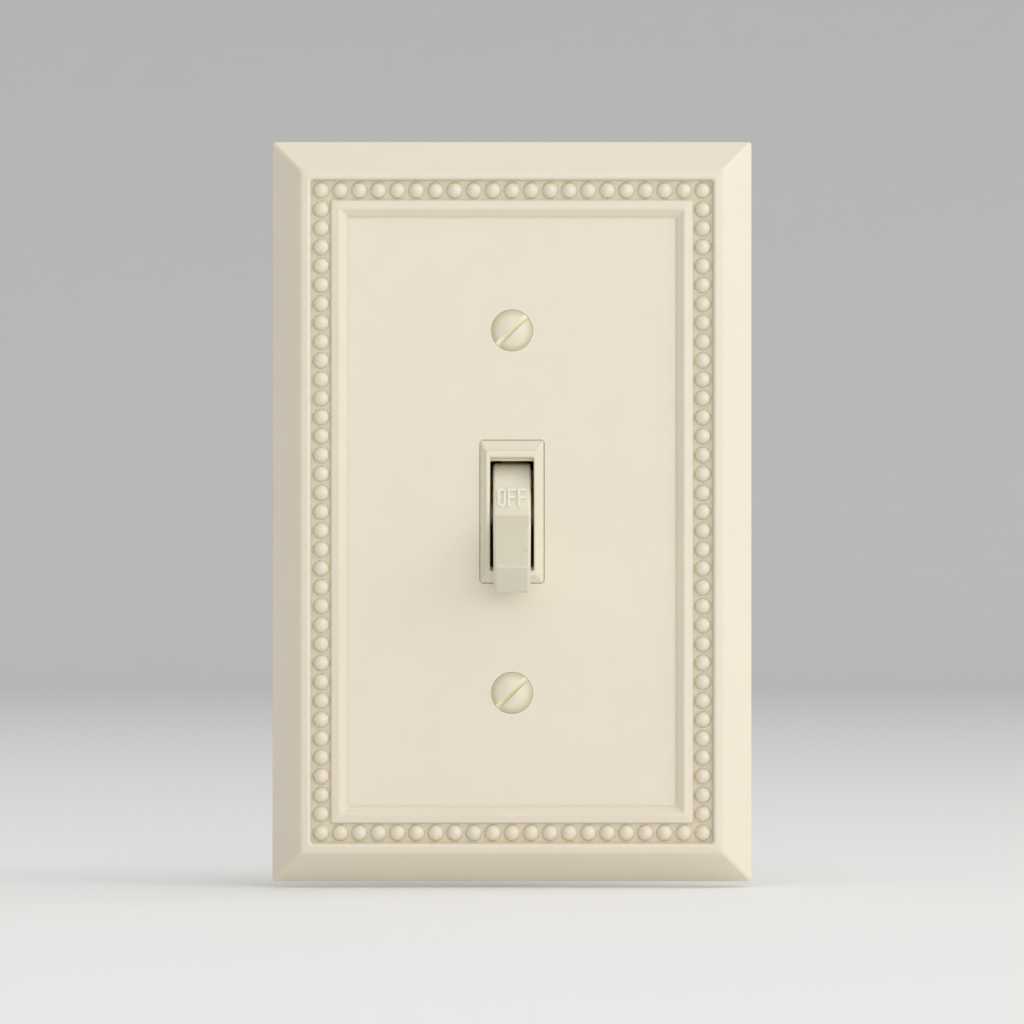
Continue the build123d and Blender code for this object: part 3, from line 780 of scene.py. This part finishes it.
# ---- Switch cover ----
# Ivory lid of the body. The frame round the lever stands through the plate in two soft steps,
# and blocks under the lid carry the trunnions.
cover = bmesh.new()
frame_half = (5.37, 11.92)
frame_height = 6.4
slot_half = (3.63, 9.35)
lid_half = (12, 25)
lid_rear_height = -2.0
step_inset = 1.0
rivet_hole_radius = 1.15
step_spread = (1.0, (frame_half[1] - 0.18 - 10.15) / 0.82, (frame_half[1] - 0.18 - 10.7) / 0.82)
band = [(0, 0), (0, 5.1), (0.05, 5.25), (0.18, 5.38)]
step_wall = [(0, 6.05), (0, 6.28), (0.04, 6.37), (0.12, frame_height)]
frame_base = rounded_ring(cover, frame_half[0], frame_half[1], 0, 0.3)
frame_edge = follow(cover, frame_base, band)
step_slope = [(0, 5.38), (step_inset - 0.18, 6.04)]
step_foot = follow(cover, frame_edge, step_slope, spread=step_spread)
step_edge = follow(cover, step_foot, step_wall)
slot_middle = (0, pivot.z)
slot_mouth = rounded_ring(
    cover, slot_half[0] + 0.18, slot_half[1] + 0.36, frame_height, 0.3, centre=slot_middle
)
fill_between(cover, [step_edge, slot_mouth], (0, -1, 0))
mouth_edge = [(0, frame_height), (0.07, 6.37), (0.13, 6.28), (0.18, 6.08)]
slot_wall = follow(cover, slot_mouth, mouth_edge, centre=slot_middle, spread=(1, 2, 2))
ledge = follow(cover, slot_wall, [(0, 6.08), (0, 4.6)], centre=slot_middle)
throat = follow(cover, ledge, [(0, 4.6), (0.5, 4.6)], centre=slot_middle, spread=(0, 1, 1))
slot_rear = follow(cover, throat, [(0, 4.6), (0, lid_rear_height)], centre=slot_middle)
lid_front = rounded_ring(cover, lid_half[0], lid_half[1], 0, 1.5)
lid_rear = follow(cover, lid_front, [(0, 0), (0, lid_rear_height)])
rivet_spots = [(side * 8.3, end * 22.3) for side in (1, -1) for end in (1, -1)]
rivet_fronts = [
    round_ring(cover, rivet_hole_radius, 0, spot, segments=24) for spot in rivet_spots
]
rivet_hole = [(rivet_hole_radius, 0), (rivet_hole_radius, lid_rear_height)]
rivet_rears = [
    follow_round(cover, ring, rivet_hole, spot) for ring, spot in zip(rivet_fronts, rivet_spots)
]
fill_between(cover, [lid_front, frame_base, *rivet_fronts], (0, -1, 0))
fill_between(cover, [lid_rear, slot_rear, *rivet_rears], (0, 1, 0))


def add_block(bm, centre, size, roll=0.0):
    """Adds a block of a size at a centre, rolled about X."""
    spot = Matrix.Translation(centre) @ Matrix.Rotation(roll, 4, "X")
    bmesh.ops.create_cube(bm, size=1, matrix=spot @ Matrix.Diagonal((*size, 1)))


bearings = bmesh.new()
bearing_middle = 3.15
bearing_depth = 2.5
cheek = (5.51, 1.58, 0, 7.2)
shoulders = ((4.2, 1.08, 2.825, 1.55), (4.2, 1.08, -2.825, 1.55))
for side in (1, -1):
    for x, width, z, height in (cheek, *shoulders):
        add_block(bearings, (side * x, bearing_middle, pivot.z + z), (width, bearing_depth, height))
saddle = bmesh.new()
saddle_radius = 2.05
saddle_rear = 5.0
saddle_outline = [(saddle_rear, saddle_radius)] + [
    (pivot.y - saddle_radius * math.sin(a), saddle_radius * math.cos(a))
    for a in [math.radians(10 * i) for i in range(19)]
] + [(saddle_rear, -saddle_radius)]
saddle_half = 4.7
saddle_end = saddle.faces.new(
    [saddle.verts.new((-saddle_half, y, pivot.z + z)) for y, z in saddle_outline]
)
saddle_far = bmesh.ops.extrude_face_region(saddle, geom=[saddle_end])["geom"]
bmesh.ops.translate(
    saddle, vec=(2 * saddle_half, 0, 0),
    verts=[p for p in saddle_far if isinstance(p, bmesh.types.BMVert)],
)
cover_piece = make_piece(
    cover, "switch_cover_moulding", ivory_plastic, "housing",
    cuts=[saddle], added=bearings, sharp=32,
)
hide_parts("switch_cover")

# ---- Mounting strap ----
# Stamped steel yoke, zinc plated, with soft sheared edges. The plaster ears at its ends are
# scored so that they can be snapped off, and a tab for the ground wire is bent to the rear.
def plated_steel(name, light, dark, roughness):
    """Zinc plate: pale mottled spangle, faint rolling lines and a slightly uneven polish."""
    finish, shader = new_finish(name, light, roughness, metallic=1.0)
    tree = finish.node_tree
    cells = tree.nodes.new("ShaderNodeTexVoronoi")
    cells.inputs["Scale"].default_value = 1 / (1.8 * MM)
    place = tree.nodes.new("ShaderNodeTexCoord")
    tree.links.new(place.outputs["Object"], cells.inputs["Vector"])
    spangle = spread_of(finish, cells.outputs["Distance"], 0.0, 0.35)
    cloud = mixed(finish, spread_of(finish, noise(finish, 4.0), 0.0, 1.0), light, dark)
    tone = mixed(finish, spangle, cloud, dark)
    tree.links.new(tone, shader.inputs["Base Color"])
    uneven = spread_of(finish, noise(finish, 1.2), roughness - 0.07, roughness + 0.1)
    tree.links.new(uneven, shader.inputs["Roughness"])
    add_bump(finish, shader, noise(finish, 0.3, stretch=(1, 1, 0.12)), 0.006)
    return finish


def copy_of_node(node):
    """The CAD node's shape, its triangles merged into flat faces, in millimetres."""
    shape = bmesh.new()
    shape.from_mesh(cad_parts[node].data)
    bmesh.ops.scale(shape, vec=(1 / MM, 1 / MM, 1 / MM), verts=shape.verts)
    bmesh.ops.remove_doubles(shape, verts=shape.verts, dist=0.002)
    bmesh.ops.dissolve_limit(
        shape, angle_limit=math.radians(1.0), use_dissolve_boundaries=False, verts=shape.verts,
        edges=shape.edges, delimit={"NORMAL"},
    )
    return shape


strap_front = 1.25
score_x = 7.6
score_z = 45.4
score_size = (8.2, 0.4, 0.4)
pale_zinc = (0.66, 0.66, 0.65, 1.0)
grey_zinc = (0.50, 0.51, 0.52, 1.0)
zinc_steel = plated_steel("zinc_plated_steel", pale_zinc, grey_zinc, 0.36)
scores = []
for end in (1, -1):
    for side in (1, -1):
        scores.append(bmesh.new())
        score_centre = (side * score_x, -strap_front - 0.05, end * score_z)
        add_block(scores[-1], score_centre, score_size, roll=math.pi / 4)
strap_piece = make_piece(
    copy_of_node("mounting_strap"), "stamped_strap", zinc_steel, "housing",
    cuts=scores, soften=0.16, sharp=40,
)
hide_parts("mounting_strap")

# ---- Box screws ----
# Zinc-plated round-head screws with a straight slot, held in the strap's slots by fibre squares.
box_low, box_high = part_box("box_screws")
box_head_top = -box_low[1] / MM
box_end = -box_high[1] / MM
box_screw_z = 41.67
neck_end = -0.5
round_head = [
    (radius, box_head_top - drop)
    for radius, drop in ((0, 0), (1.3, 0.09), (2.4, 0.32), (3.1, 0.65), (3.42, 0.98), (3.5, 1.3))
]
box_profile = round_head + [
    (3.42, strap_front + 0.06), (3.3, strap_front), (1.35, strap_front), (1.35, neck_end),
    (1.3, neck_end - 0.1), (1.3, box_end + 0.6), (0.9, box_end), (0, box_end),
]
box_mesh = bmesh.new()
box_threads = bmesh.new()
box_slots = []
for z in (box_screw_z, -box_screw_z):
    spot = facing_front(0, z)
    turned(box_mesh, box_profile, spot)
    add_thread(box_threads, box_end + 0.1, neck_end, spot)
    box_slots.append(slot_cutter(1.0, box_head_top - 1.0, box_head_top + 1, 9, 0, spot))
box_piece = make_piece(
    box_mesh, "round_head_box_screws", zinc_steel, "housing", cuts=box_slots,
    added=box_threads, sharp=30,
)
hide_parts("box_screws")


def pressed_fibre():
    """Brick-red vulcanised fibre, matt, with short pressed fibres in it."""
    dark_fibre, pale_fibre = (0.25, 0.075, 0.045, 1.0), (0.38, 0.14, 0.08, 1.0)
    finish, shader = new_finish("pressed_fibre", (0.30, 0.10, 0.06, 1.0), 0.8)
    fibres = noise(finish, 0.35, detail=5.0, stretch=(1, 1, 0.2))
    tone = mixed(finish, spread_of(finish, fibres, 0.0, 1.0), dark_fibre, pale_fibre)
    finish.node_tree.links.new(tone, shader.inputs["Base Color"])
    add_bump(finish, shader, fibres, 0.03)
    return finish


retainers = make_piece(
    copy_of_node("screw_retainers"), "fibre_retainers", pressed_fibre(), "housing",
    soften=0.06, sharp=40,
)
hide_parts("screw_retainers")

# ---- Switch body ----
# Moulded cup behind the strap, in pale grey thermoset. Its rear has holes for pushed-in wires,
# each with a release slot and a sunken ring, and its corners are bored for the rivets.
def colour_in_patches(finish, shader, patches, first, second):
    """Base colour that wanders between two tones."""
    tone = mixed(finish, patches, first, second)
    finish.node_tree.links.new(tone, shader.inputs["Base Color"])


def moulded_thermoset():
    """Grey-white urea moulding, dull, with mould flow and a fine grain."""
    pale_grey, deep_grey = (0.60, 0.59, 0.55, 1.0), (0.54, 0.525, 0.485, 1.0)
    finish, shader = new_finish("grey_thermoset", pale_grey, 0.55)
    flow = spread_of(finish, noise(finish, 5.0, detail=4.0, stretch=(1, 0.4, 1)), 0.0, 0.6)
    colour_in_patches(finish, shader, flow, pale_grey, deep_grey)
    dullness = spread_of(finish, noise(finish, 1.0), 0.48, 0.62)
    finish.node_tree.links.new(dullness, shader.inputs["Roughness"])
    add_bump(finish, shader, noise(finish, 0.3), 0.015)
    return finish


body_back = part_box("switch_body")[1][1] / MM
wire_hole_z = 18
wire_pocket = (6.6, (4.6, 0.8, 4.6))
release_pocket = (2.2, (1.6, 0.8, 3.4))
hollows = [
    ((x, body_back, end * wire_hole_z), size)
    for end in (1, -1) for x, size in (wire_pocket, release_pocket)
]
hollows.append(((-1.0, body_back, 0), (17, 0.7, 20)))
hollows += [((-12, 13.5, z), (0.7, 15, 7)) for z in (-8, 8)]
body_cuts = []
for hollow_centre, hollow_size in hollows:
    body_cuts.append(bmesh.new())
    add_block(body_cuts[-1], hollow_centre, hollow_size)
body_piece = make_piece(
    copy_of_node("switch_body"), "moulded_switch_body", moulded_thermoset(), "housing",
    cuts=body_cuts, soften=0.18, sharp=40,
)
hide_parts("switch_body")

# ---- Rivets ----
# Four tubular steel rivets through the strap, the lid and the body, rolled over at both ends.
rivets = bmesh.new()
rivet_front = [
    (0, 1.75), (0.55, 1.72), (0.75, 1.85), (1.0, 1.98), (1.4, 1.93), (1.8, 1.68), (1.95, 1.4),
    (1.92, strap_front), (1.1, strap_front),
]
rivet_rear = [
    (1.1, -24), (1.92, -24), (1.95, -24.2), (1.8, -24.5), (1.4, -24.7), (1.0, -24.74),
    (0.8, -24.6), (0.65, -24.1), (0, -24.05),
]
for x, z in rivet_spots:
    turned(rivets, rivet_front + rivet_rear, facing_front(x, z), steps=28)
rivet_piece = make_piece(rivets, "tubular_rivets", zinc_steel, "housing", sharp=50)
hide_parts("assembly_rivets")

# ---- Terminals ----
# Line and load terminals are bent from brass strip, with sheared edges and a dull lacquer bloom.
def strip_brass():
    """Yellow brass strip with a thin brown bloom and long rolling lines."""
    clean_brass, browned_brass = (0.68, 0.46, 0.18, 1.0), (0.45, 0.27, 0.10, 1.0)
    finish, shader = new_finish("strip_brass", (0.66, 0.44, 0.17, 1.0), 0.34, metallic=1.0)
    bloom = spread_of(finish, noise(finish, 3.5, detail=4.0), 0.0, 0.8)
    colour_in_patches(finish, shader, bloom, clean_brass, browned_brass)
    polish = spread_of(finish, noise(finish, 1.5), 0.27, 0.45)
    finish.node_tree.links.new(polish, shader.inputs["Roughness"])
    add_bump(finish, shader, noise(finish, 0.25, stretch=(1, 0.1, 1)), 0.006)
    return finish


brass = strip_brass()
for node in ("line_terminal", "load_terminal"):
    strip = make_piece(
        copy_of_node(node), f"{node}_strip", brass, "housing", soften=0.1, sharp=40
    )
    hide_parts(node)

# ---- Side screws ----
# Binding-head screws, brass on the two terminals and green on the ground tab, with a cupped
# underside that grips the wire.
side_head = 2.2
binding_head = [
    (0, side_head), (1.6, side_head - 0.05), (2.9, side_head - 0.3), (3.6, side_head - 0.7),
    (3.87, 1.25), (3.9, 0.95), (3.9, 0.2), (3.75, 0.02), (3.4, 0.0), (2.6, 0.3), (1.9, 0.3),
    (1.35, 0.05), (1.3, -0.2),
]
terminal_shank = [(1.3, -4.6), (0.9, -5.2), (0, -5.2)]
ground_shank = [(1.3, -5.4), (0.9, -6.0), (0, -6.0)]
side_slot = (1.0, side_head - 1.0, side_head + 1, 9)
terminal_screw_mesh = bmesh.new()
terminal_threads = bmesh.new()
terminal_slots = []
outward = Matrix.Rotation(math.pi / 2, 4, "Y")
for z in (16.5, -16.5):
    spot = Matrix.Translation((12.82, 10, z)) @ outward
    turned(terminal_screw_mesh, binding_head + terminal_shank, spot)
    add_thread(terminal_threads, -5.1, 0.1, spot)
    terminal_slots.append(slot_cutter(*side_slot, math.radians(90), spot))
terminal_screw_piece = make_piece(
    terminal_screw_mesh, "binding_head_screws", brass, "housing", cuts=terminal_slots,
    added=terminal_threads, sharp=30,
)
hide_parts("terminal_screws")


def green_dip():
    """Translucent green dye over zinc, in uneven patches, that marks the ground screw."""
    finish, shader = new_finish("green_dyed_zinc", (0.05, 0.30, 0.10, 1.0), 0.42, metallic=0.85)
    pooled_dye_and_rim_shade = spread_of(finish, noise(finish, 1.5), 0.0, 1.0)
    deep_green, pale_green = (0.035, 0.22, 0.075, 1.0), (0.055, 0.29, 0.10, 1.0)
    colour_in_patches(finish, shader, pooled_dye_and_rim_shade, deep_green, pale_green)
    add_bump(finish, shader, noise(finish, 0.4), 0.005)
    return finish


ground_mesh = bmesh.new()
ground_thread = bmesh.new()
ground_tab = (-11.5, 4.6, -33.5)
ground_spot = Matrix.Translation(ground_tab) @ Matrix.Rotation(-math.pi / 2, 4, "Y")
turned(ground_mesh, binding_head + ground_shank, ground_spot)
add_thread(ground_thread, -5.9, 0.1, ground_spot)
ground_slot = slot_cutter(*side_slot, math.radians(65), ground_spot)
ground_piece = make_piece(
    ground_mesh, "ground_screw_green", green_dip(), "housing", cuts=[ground_slot],
    added=ground_thread, sharp=30,
)
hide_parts("ground_screw")

# ---- Mechanism ----
# The copper rocker carries the moving contact on its lower wing and turns on a steel pin. The
# fixed contact, the wire clamps and the rubber stop stay in the body.
def copper_strip():
    """Reddish copper alloy, lightly tarnished."""
    finish, shader = new_finish("copper_strip", (0.72, 0.38, 0.22, 1.0), 0.35, metallic=1.0)
    tarnish = spread_of(finish, noise(finish, 2.5, detail=4.0), 0.0, 0.8)
    bright_copper, dark_copper = (0.76, 0.42, 0.25, 1.0), (0.48, 0.22, 0.12, 1.0)
    colour_in_patches(finish, shader, tarnish, bright_copper, dark_copper)
    add_bump(finish, shader, noise(finish, 0.25, stretch=(1, 0.15, 1)), 0.005)
    return finish


def silver_button():
    """Silver-alloy contact button, satin, with a grey bloom."""
    finish, shader = new_finish("silver_button", (0.82, 0.80, 0.76, 1.0), 0.3, metallic=1.0)
    bloom = spread_of(finish, noise(finish, 0.8), 0.0, 1.0)
    bright_silver, grey_silver = (0.85, 0.83, 0.79, 1.0), (0.62, 0.60, 0.56, 1.0)
    colour_in_patches(finish, shader, bloom, bright_silver, grey_silver)
    return finish


def soft_rubber():
    """Black rubber with a dusty, dull skin."""
    finish, shader = new_finish("soft_rubber", (0.03, 0.03, 0.03, 1.0), 0.85)
    dust = spread_of(finish, noise(finish, 1.0, detail=5.0), 0.0, 1.0)
    black_rubber, dusty_rubber = (0.022, 0.022, 0.022, 1.0), (0.06, 0.058, 0.055, 1.0)
    colour_in_patches(finish, shader, dust, black_rubber, dusty_rubber)
    add_bump(finish, shader, noise(finish, 0.3), 0.02)
    return finish


copper = copper_strip()
silver = silver_button()
mechanism = (
    ("contact_rocker", "rocking_contact_arm", copper, "rocker", "copper_alloy", 0.12),
    ("moving_contact", "moving_contact_button", silver, "rocker", "silver_contact", 0.12),
    ("fixed_contact", "fixed_contact_button", silver, "housing", "silver_contact", 0.12),
    ("rocker_pin", "rocker_pin_steel", zinc_steel, "housing", "zinc_steel", 0.1),
    ("push_in_clamps", "push_in_wire_clamps", copper, "housing", "copper_alloy", 0.05),
    ("rocker_bumper", "rocker_rubber_stop", soft_rubber(), "housing", "bumper_rubber", 0.2),
)
for node, name, finish, body, slot, softness in mechanism:
    piece = make_piece(copy_of_node(node), name, finish, body, soften=softness, sharp=40)
    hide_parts(node)

# ---- Stage ----
# A pale floor that curves up into a backdrop well behind the switch, and soft studio light.
low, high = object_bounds()
centre = Vector(((low[0] + high[0]) / 2, -panel_height * MM, (low[2] + high[2]) / 2))
floor_level = low[2] - 0.001
sweep_radius = 0.4
sweep_depth = 2.0
wall_height = 1.8
near_paper = (0.88, 0.88, 0.88, 1.0)
back_paper = (0.57, 0.57, 0.57, 1.0)
left_paper = (0.36, 0.36, 0.36, 1.0)
stage_mesh = bmesh.new()
rise = [
    (sweep_radius * math.sin(a), sweep_radius * (1 - math.cos(a)))
    for a in [math.radians(2.5 * i) for i in range(1, 37)]
]
floor_edges = {"left": -2.6, "right": 3.0, "front": -2.6, "back": sweep_depth - sweep_radius}
corners = (("right", "front"), ("right", "back"), ("left", "back"), ("left", "front"))
floor = [stage_mesh.verts.new((floor_edges[x], floor_edges[y], floor_level)) for x, y in corners]
stage_mesh.faces.new(floor)
for first, second, out in ((1, 2, (0, 1)), (2, 3, (-1, 0))):
    foot = [v.co.copy() for v in (floor[first], floor[second])]
    line = [foot[0]] + [foot[0] + Vector((out[0] * o, out[1] * o, up)) for o, up in rise]
    line.append(line[-1] + Vector((0, 0, wall_height)))
    line = [stage_mesh.verts.new(point) for point in line]
    edges = [stage_mesh.edges.new(pair) for pair in zip(line, line[1:])]
    swept = bmesh.ops.extrude_edge_only(stage_mesh, edges=edges)["geom"]
    moved = [p for p in swept if isinstance(p, bmesh.types.BMVert)]
    bmesh.ops.translate(stage_mesh, vec=foot[1] - foot[0], verts=moved)
bmesh.ops.remove_doubles(stage_mesh, verts=stage_mesh.verts, dist=1e-5)
bmesh.ops.recalc_face_normals(stage_mesh, faces=stage_mesh.faces)
sweep_data = bpy.data.meshes.new("studio_sweep")
stage_mesh.to_mesh(sweep_data)
stage_mesh.free()
sweep_data.shade_flat()
sweep = bpy.data.objects.new("studio_sweep", sweep_data)
bpy.context.scene.collection.objects.link(sweep)
paper, paper_shader = new_finish("pale_paper", (0.6, 0.6, 0.6, 1.0), 0.9)
paper_place = paper.node_tree.nodes.new("ShaderNodeTexCoord")
paper_axes = paper.node_tree.nodes.new("ShaderNodeSeparateXYZ")
paper.node_tree.links.new(paper_place.outputs["Object"], paper_axes.inputs["Vector"])
paper_tone = near_paper
fades = (("Y", 0.1, sweep_depth, back_paper), ("X", -0.9, floor_edges["left"], left_paper))
for axis, fade_from, fade_to, far_paper in fades:
    fade = paper.node_tree.nodes.new("ShaderNodeMapRange")
    fade.inputs["From Min"].default_value = fade_from
    fade.inputs["From Max"].default_value = fade_to
    paper.node_tree.links.new(paper_axes.outputs[axis], fade.inputs["Value"])
    paper_tone = mixed(paper, fade.outputs["Result"], paper_tone, far_paper)
paper.node_tree.links.new(paper_tone, paper_shader.inputs["Base Color"])
sweep_data.materials.append(paper)


def soft_light(name, place, size, power, tint=(1, 1, 1)):
    """A square area light that points at the middle of the switch."""
    data = bpy.data.lights.new(name, "AREA")
    data.shape = "SQUARE"
    data.size = size
    data.energy = power
    data.color = tint
    lamp = bpy.data.objects.new(name, data)
    lamp.location = centre + Vector(place)
    lamp.rotation_euler = (-Vector(place)).to_track_quat("-Z", "Y").to_euler()
    bpy.context.scene.collection.objects.link(lamp)


soft_light("front", (0.3, -1.6, 0.1), 0.9, 6.6)
soft_light("upper_right", (0.9, -0.45, 0.45), 0.5, 1.1)

# Sky that brightens to the right and a little upward, like a large soft tent
world = bpy.data.worlds.new("studio")
world.use_nodes = True
sky = world.node_tree
background = sky.nodes["Background"]
background.inputs["Color"].default_value = (1.0, 0.995, 0.98, 1.0)
direction = sky.nodes.new("ShaderNodeTexCoord")
slant = sky.nodes.new("ShaderNodeVectorMath")
slant.operation = "DOT_PRODUCT"
slant.inputs[1].default_value = (0.55, 0.0, 0.19)
brightness = sky.nodes.new("ShaderNodeMath")
brightness.operation = "ADD"
brightness.inputs[1].default_value = 0.765
sky.links.new(direction.outputs["Generated"], slant.inputs[0])
sky.links.new(slant.outputs["Value"], brightness.inputs[0])
sky.links.new(brightness.outputs["Value"], background.inputs["Strength"])
bpy.context.scene.world = world
bpy.context.scene.view_settings.view_transform = "Standard"

# Camera straight in front, far enough away to be nearly free of perspective
lens = 300.0
sensor = 36.0
frame_width = 0.1704
camera_data = bpy.data.cameras.new("camera")
camera_data.lens = lens
camera_data.sensor_width = sensor
camera_data.clip_start = 0.01
camera = bpy.data.objects.new("camera", camera_data)
distance = frame_width * lens / sensor
camera.location = centre + Vector((0, -distance, -0.00006))
camera.rotation_euler = (math.pi / 2, 0, 0)
bpy.context.scene.collection.objects.link(camera)
bpy.context.scene.camera = camera
